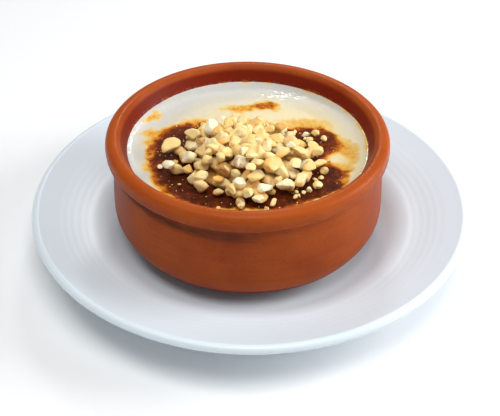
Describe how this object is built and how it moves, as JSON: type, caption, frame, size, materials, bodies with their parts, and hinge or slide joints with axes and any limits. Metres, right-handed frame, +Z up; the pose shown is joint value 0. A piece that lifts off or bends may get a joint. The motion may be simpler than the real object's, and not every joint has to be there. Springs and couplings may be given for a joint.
{
  "type": "rice pudding",
  "caption": "Oven-baked rice pudding with a browned skin in a round clay bowl, topped with a heap of chopped nuts and served on a white plate.",
  "frame": {"origin": "bottom centre of the plate's foot ring, on the surface it stands on", "axes": "+Z up along the bowl's axis; the picture's viewer looks along +Y, with +X to the right"},
  "size_m": [0.1902, 0.1902, 0.0636],
  "materials": {
    "white_glaze": "glossy white glazed porcelain",
    "red_clay": "smooth fired red clay with a thin satin glaze",
    "baked_milk": "moist baked milk skin, white to dark brown",
    "chopped_nut": "cream chopped blanched hazelnut, lightly toasted"
  },
  "bodies": {
    "root": {"plate": "white_glaze", "clay_bowl": "red_clay", "rice_pudding": "baked_milk", "nut_heap": "chopped_nut"}
  },
  "joints": []
}
